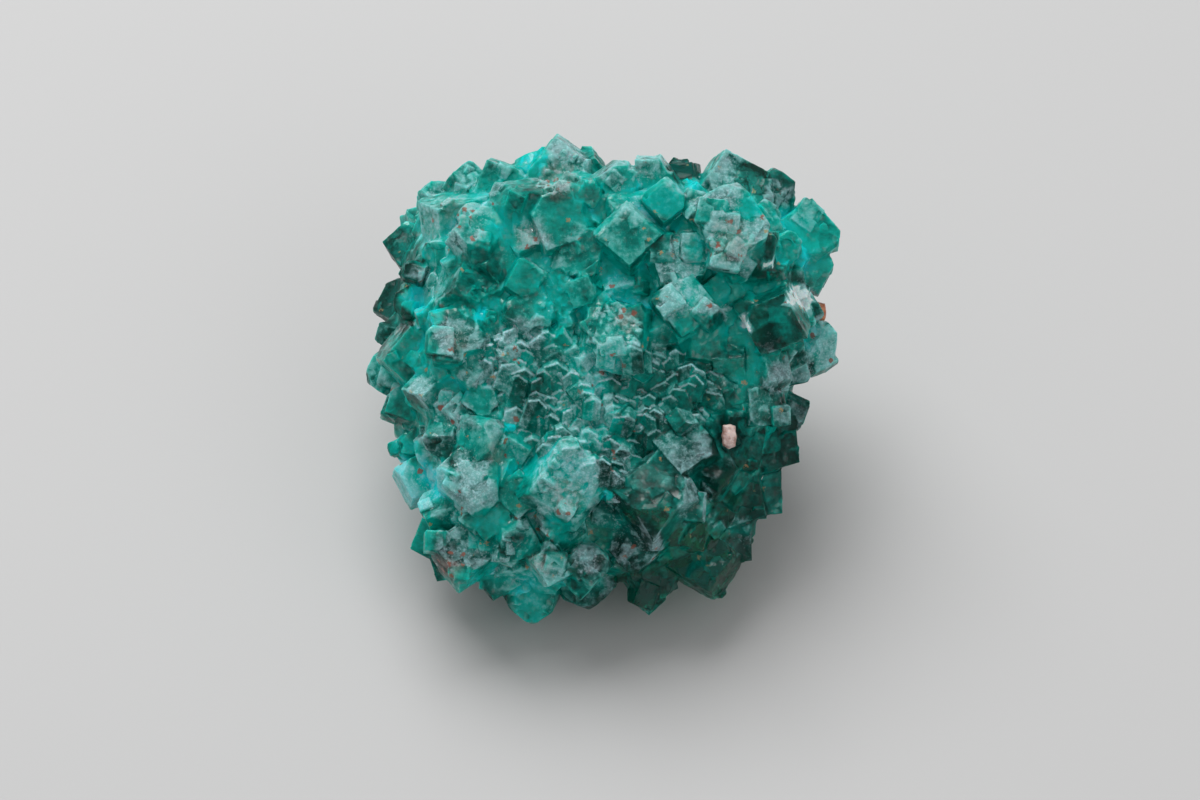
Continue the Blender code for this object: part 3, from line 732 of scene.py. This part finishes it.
class Wire:
    # a socket in the material being made, so that shader maths reads as plain sums
    tree = None

    def __init__(self, socket):
        self.socket = socket

    @classmethod
    def make(cls, kind, settings=None, sockets=None, out=0):
        made = cls.tree.nodes.new("ShaderNode" + kind)
        for name, value in (settings or {}).items():
            if name == "stops":
                fillRamp(made.color_ramp, value)
            else:
                setattr(made, name, value)
        for name, value in (sockets or {}).items():
            if isinstance(value, Wire):
                cls.tree.links.new(value.socket, made.inputs[name])
            else:
                made.inputs[name].default_value = value
        return Wire(made.outputs[out])

    @staticmethod
    def sum(operation, *values):
        return Wire.make("Math", {"operation": operation}, dict(enumerate(values)))

    def other(self, out):
        return Wire(self.socket.node.outputs[out])

    def vector(self, operation, second, out=0):
        return Wire.make("VectorMath", {"operation": operation}, {0: self, 1: second}, out=out)

    def __add__(self, other): return Wire.sum("ADD", self, other)
    def __radd__(self, other): return Wire.sum("ADD", other, self)
    def __sub__(self, other): return Wire.sum("SUBTRACT", self, other)
    def __rsub__(self, other): return Wire.sum("SUBTRACT", other, self)
    def __mul__(self, other): return Wire.sum("MULTIPLY", self, other)
    def __rmul__(self, other): return Wire.sum("MULTIPLY", other, self)

    def clamped(self):
        return Wire.make("Clamp", sockets={"Value": self})

    def between(self, low, high):
        # 0 at low, 1 at high, eased
        settings = {"interpolation_type": "SMOOTHSTEP"}
        return Wire.make("MapRange", settings, {"Value": self, "From Min": low, "From Max": high})

    def pick(self, first, second):
        # a colour from first to second
        return Wire.make("Mix", {"data_type": "RGBA"}, {0: self, 6: first, 7: second}, out=2)


def fillRamp(ramp, stops):
    ramp.elements.remove(ramp.elements[1])
    ramp.elements[0].position, ramp.elements[0].color = stops[0][0], (*stops[0][1], 1)
    for position, colour in stops[1:]:
        ramp.elements.new(position).color = (*colour, 1)


def startMaterial(name):
    material = bpy.data.materials.new(name)
    material.use_nodes = True
    material.node_tree.nodes.clear()
    Wire.tree = material.node_tree
    return material


def finishMaterial(surface, volume=None):
    end = Wire.tree.nodes.new("ShaderNodeOutputMaterial")
    Wire.tree.links.new(surface.socket, end.inputs["Surface"])
    if volume:
        Wire.tree.links.new(volume.socket, end.inputs["Volume"])


def painted(name):
    return Wire.make("Attribute", {"attribute_name": name}, out=2)


dioptaseLook = {
    "greens": [  # from the deepest green, in painted shade, to the cyan of thin edges with painted light glowing through
        (0.0, (0.0002, 0.030, 0.023)), (0.12, (0.0003, 0.068, 0.055)), (0.3, (0.0005, 0.152, 0.124)),
        (0.46, (0.0005, 0.265, 0.216)), (0.62, (0.0008, 0.358, 0.300)), (0.82, (0.001, 0.43, 0.400)),
        (1.0, (0.001, 0.58, 0.60)),
    ],
    "filmAndSheen": (0.41, 0.58, 0.625, 1),  # the pale skin on some faces, partly real frost and partly a painted sheen of soft light on faces turned to it
    "speckle": (0.49, 0.71, 0.75, 1),
    # painted glint: the near white of faces that glare
    "glare": (0.85, 0.90, 0.90, 1),
    "rust": (0.26, 0.095, 0.07, 1),
    "sand": (0.42, 0.27, 0.12, 1),
    "stain": (0.45, 0.25, 0.22, 1),
    "clouds": (600, 4),  # how many in a metre, and their detail
    "grain": (2400, 3),
    "sugar": (6500, 2),
    "mosaic": 1400,  # small facets in a metre
    "fineMosaic": 3400,
    "specks": 1300,
    "tones": {"facet": 0.42, "chip": 0.08, "fineChip": 0.10, "cloud": 0.75, "grain": 0.4},
    "calm": 0.6,  # how much of that goes under frost
    # painted light: ridges lighter as if light shone through thin edges, and hollows lighter and bumps
    # darker against the shade in hollows
    "edgeLight": 0.18,
    "hollowLight": 0.36,
    "lightScale": 0.82,
    # where the film and its painted sheen go: faces turned up to the light get more as painted sheen, and
    # ridges more as a painted highlight
    "filmAndSheenTones": {"cloud": 1.1, "grain": 0.8, "chip": 0.14, "edge": 0.28, "top": 0.08},
    "filmAndSheenShare": (0.36, 1.08),
    "filmAndSheenCover": 0.4,
    # painted highlight: the pale upper rims of the scales, where the light catches them
    "rimHighlight": 0.45,
    "speckleShare": (0.58, 0.72),
    "speckleCover": 0.4,
    "rustShare": (0.86, 0.88),  # which specks are rust, by chance
    "rustSize": (0.32, 0.20),
    "rustCover": 0.85,
    "sandShare": (0.92, 0.95),
    "sandSize": (0.24, 0.14),
    "sandCover": 0.7,
    "glints": (0.83, 0.89),  # which small facets glint, by chance
    "bump": 0.4,
    "bumpDepth": 0.0002,
    "roughness": 0.32,
    "specular": 0.08,
    "coatRoughness": 0.12,
    "glow": 0.85,  # share of the light that goes in and comes out again
    "glowReach": 0.0008,
    "glowColours": (0.25, 1.0, 0.85),
    "glass": (0.12, 1.0, 0.90, 1),
    "glassIor": 1.66,
    "glassRoughness": 0.06,
    "glassSpecular": 0.12,
    "glassShare": 0.6,
    "absorb": (0.0, 0.867, 0.823, 1),
    "absorbDensity": 500,
}


def cloudy(place, scale, detail, roughness=0.6):
    sockets = {"Vector": place, "Scale": scale, "Detail": detail, "Roughness": roughness}
    return Wire.make("TexNoise", sockets=sockets)


def mosaic(place, scale):
    # small flat facets that tip every way: a height, and two chances for each facet
    middle = Wire.make("TexVoronoi", {}, {"Vector": place, "Scale": scale}, out=2)
    chance = middle.other(1)
    away = place.vector("SUBTRACT", middle)
    height = away.vector("DOT_PRODUCT", chance.vector("SUBTRACT", (0.5, 0.5, 0.5)), out=1) * scale
    parts = Wire.make("SeparateColor", sockets={"Color": chance})
    return height, parts, parts.other(1)


def dioptaseMaterial():
    look = dioptaseLook
    material = startMaterial("dioptase")
    place = Wire.make("TexCoord", out=3)
    broad, grain, sugar = (cloudy(place, *look[name]) for name in ("clouds", "grain", "sugar"))
    facets, chance, secondChance = mosaic(place, look["mosaic"])
    fineFacets, fineChance, glint = mosaic(place, look["fineMosaic"])
    frost, light, clear = painted("frost"), painted("light"), painted("clear")
    tone, edge, hollow = painted("tone"), painted("edge"), painted("hollow")
    rim, upward, stain = painted("rim"), painted("upward"), painted("stain")

    # the green under the frost, with painted light and shade laid over it
    tones = look["tones"]
    uneven = tones["facet"] * (tone - 0.5) + tones["chip"] * (chance - 0.5)
    uneven = uneven + tones["fineChip"] * (fineChance - 0.5)
    uneven = uneven + tones["cloud"] * (broad - 0.5) + tones["grain"] * (grain - 0.5)
    depth = light + uneven * (1.05 - look["calm"] * frost) + 0.03
    # painted light: ridges lighter as if lit through thin edges, hollows lighter and bumps darker
    depth = depth + look["edgeLight"] * edge + look["hollowLight"] * hollow
    colour = Wire.make("ValToRGB", {"stops": look["greens"]}, {"Fac": depth * look["lightScale"]})

    # the film over it, partly frost and partly a painted sheen; the pale rims of the scales, a painted
    # highlight; the sugar in the frost; and the glaring faces, painted glints
    tones = look["filmAndSheenTones"]
    patchy = tones["cloud"] * (broad - 0.5) + tones["grain"] * (grain - 0.5)
    patchy = patchy + tones["chip"] * (secondChance - 0.5) + tones["edge"] * edge + tones["top"] * upward
    filmAndSheen = (frost + patchy * (0.3 + 1.2 * frost).clamped()).between(*look["filmAndSheenShare"])
    cover = filmAndSheen * (look["filmAndSheenCover"] + 0.4 * (grain - 0.5)) + look["rimHighlight"] * rim * (sugar + 0.4)
    colour = cover.clamped().pick(colour, look["filmAndSheen"])
    speckle = sugar + 0.5 * (grain - 0.5) + 0.16 * (frost - 0.5) + 0.05 * fineChance
    cover = speckle.between(*look["speckleShare"]) * look["speckleCover"] * (1.3 * frost - 0.3).clamped()
    colour = cover.pick(colour, look["speckle"])
    # painted glint: faces with frost over 1 go near white
    cover = (6 * (frost - 1)).clamped() * (0.4 + 0.8 * (sugar - 0.2))
    colour = cover.clamped().pick(colour, look["glare"])

    # rust in the film, and specks of rust and sand
    colour = (stain * (0.12 + 0.8 * (grain - 0.45))).clamped().pick(colour, look["stain"])
    specks = Wire.make("TexVoronoi", {}, {"Vector": place, "Scale": look["specks"]})
    kind = Wire.make("SeparateColor", sockets={"Color": specks.other(1)})
    rust = (kind + 0.3 * stain).between(*look["rustShare"])
    rust = rust * (specks + 1.1 * (grain - 0.5)).between(*look["rustSize"])
    rust = rust * (frost + 0.8 * (broad - 0.5) + stain).between(0.4, 0.6)
    colour = (rust * look["rustCover"]).pick(colour, look["rust"])
    sand = (kind.other(1) + 0.6 * (broad - 0.5)).between(*look["sandShare"])
    sand = sand * (specks + 0.8 * (sugar - 0.5)).between(*look["sandSize"])
    colour = (sand * look["sandCover"]).pick(colour, look["sand"])

    shine = glint.between(*look["glints"]) * (1 - 0.6 * filmAndSheen) * light.between(0.05, 0.45)
    height = 0.6 * facets + 0.2 * fineFacets + 0.2 * grain
    sockets = {"Strength": look["bump"], "Distance": look["bumpDepth"], "Height": height}
    bump = Wire.make("Bump", sockets=sockets)
    body = Wire.make("BsdfPrincipled", {"subsurface_method": "RANDOM_WALK"}, {
        "Base Color": colour, "Roughness": look["roughness"] + 0.2 * filmAndSheen + 0.15 * (grain - 0.5),
        "IOR": 1.5, "Normal": bump, "Specular IOR Level": look["specular"],
        "Coat Weight": shine, "Coat Roughness": look["coatRoughness"],
        "Subsurface Weight": look["glow"], "Subsurface Radius": look["glowColours"],
        "Subsurface Scale": look["glowReach"],
    })
    glass = Wire.make("BsdfPrincipled", {}, {
        "Base Color": look["glass"], "Roughness": look["glassRoughness"], "IOR": look["glassIor"],
        "Transmission Weight": 1.0, "Normal": bump, "Specular IOR Level": look["glassSpecular"],
    })
    # light that has come in through a clear face goes out again at any face
    leaving = Wire.make("NewGeometry", out=6)
    share = (look["glassShare"] * clear - 0.5 * filmAndSheen + leaving).clamped()
    shade = Wire.make("MixShader", {}, {0: share, 1: body, 2: glass})
    sockets = {"Color": look["absorb"], "Density": look["absorbDensity"]}
    finishMaterial(shade, Wire.make("VolumeAbsorption", sockets=sockets))
    return material


lump.data.materials.clear()
lump.data.materials.append(dioptaseMaterial())
report("dioptase material")

# Calcite grains

calcite = {
    "pink_calcite_grain": {"colours": ((0.30, 0.17, 0.14, 1), (0.62, 0.50, 0.47, 1)), "seed": 31},
    "orange_calcite_grain": {"colours": ((0.36, 0.09, 0.04, 1), (0.62, 0.27, 0.14, 1)), "seed": 32},
}
calciteSkin = {  # in millimetres
    "size": 0.045,
    "lumps": ((0.35, 0.05), (0.12, 0.02)),  # width and height
    "worn": 0.02,
}


def calciteMaterial(name, look):
    material = startMaterial(name)
    place = Wire.make("TexCoord", out=3)
    cloud = cloudy(place, 1800, 4, 0.65)
    grain = Wire.make("TexNoise", sockets={"Vector": place, "Scale": 6000, "Detail": 3})
    colour = cloud.between(0.35, 0.65).pick(*look["colours"])
    bump = Wire.make("Bump", sockets={"Strength": 0.4, "Distance": 0.00005, "Height": grain})
    finishMaterial(Wire.make("BsdfPrincipled", {"subsurface_method": "RANDOM_WALK"}, {
        "Base Color": colour, "Roughness": 0.35 + 0.2 * grain, "IOR": 1.49, "Normal": bump,
        "Subsurface Weight": 0.4, "Subsurface Radius": (1.0, 0.6, 0.45), "Subsurface Scale": 0.0006,
    }))
    return material


def makeGrain(node, look):
    # a sugary grain, worn and cleaved, over its plain solid
    obj = bpy.data.objects.new(node.replace("_calcite_grain", "Calcite"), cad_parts[node].data.copy())
    scene.collection.objects.link(obj)
    movePoints(obj.data, pointsOf(obj.data) * 1000)
    layVoxelSkin(obj, calciteSkin["size"])
    points, normals = pointsOf(obj.data), normalsOf(obj.data)
    rise = np.full(len(points), -calciteSkin["worn"])
    for width, height in calciteSkin["lumps"]:
        rise += height * wobble(points, width, look["seed"])
    movePoints(obj.data, (points + normals * rise[:, None]) * 0.001)
    obj.data.shade_smooth()
    obj.data.materials.clear()
    obj.data.materials.append(calciteMaterial(node.replace("_calcite_grain", "Calcite"), look))
    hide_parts(node)
    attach(obj, "root")


for node, look in calcite.items():
    makeGrain(node, look)
report("calcite grains")

# Camera, light and floor

studio = {
    "lens": 124.2,
    "distance": 0.30,
    "look": (-0.07, -1.45, 5.0),  # the place on the show face in the middle of the picture
    "floor": (0.50, 0.50, 0.50, 1),
    "room": 0.44,
    "key": {"energy": 2.05, "size": 0.36, "place": (-0.10, 0.20, 0.40)},
    "fill": {"energy": 0.3, "size": 0.35, "place": (0.24, -0.26, 0.26)},
}


def lookAt(obj, place):
    obj.rotation_euler = (Vector(place) - obj.location).to_track_quat("-Z", "Y").to_euler()


def addCamera():
    camera = bpy.data.objects.new("camera", bpy.data.cameras.new("camera"))
    scene.collection.objects.link(camera)
    target = fromFace(*studio["look"]) * 0.001
    camera.location = target + faceOut * studio["distance"]
    camera.data.lens = studio["lens"]
    camera.data.sensor_width = 36
    camera.data.clip_start = 0.01
    lookAt(camera, target)
    scene.camera = camera


def addLight(name, light):
    lamp = bpy.data.lights.new(name, "AREA")
    lamp.energy, lamp.size = light["energy"], light["size"]
    obj = bpy.data.objects.new(name, lamp)
    scene.collection.objects.link(obj)
    obj.location = light["place"]
    lookAt(obj, (0, 0, 0.01))


def addFloor():
    mesh = bpy.data.meshes.new("floor")
    mesh.from_pydata([(-2, -2, 0), (2, -2, 0), (2, 2, 0), (-2, 2, 0)], [], [(0, 1, 2, 3)])
    floor = bpy.data.objects.new("floor", mesh)
    scene.collection.objects.link(floor)
    material = startMaterial("floor")
    finishMaterial(Wire.make("BsdfPrincipled", {}, {"Base Color": studio["floor"], "Roughness": 0.8}))
    mesh.materials.append(material)


addCamera()
addLight("key", studio["key"])
addLight("fill", studio["fill"])
addFloor()
world = bpy.data.worlds.new("room")
world.use_nodes = True
world.node_tree.nodes["Background"].inputs["Color"].default_value = (studio["room"],) * 3 + (1,)
scene.world = world
scene.view_settings.view_transform = "Standard"

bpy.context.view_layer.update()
report("done")
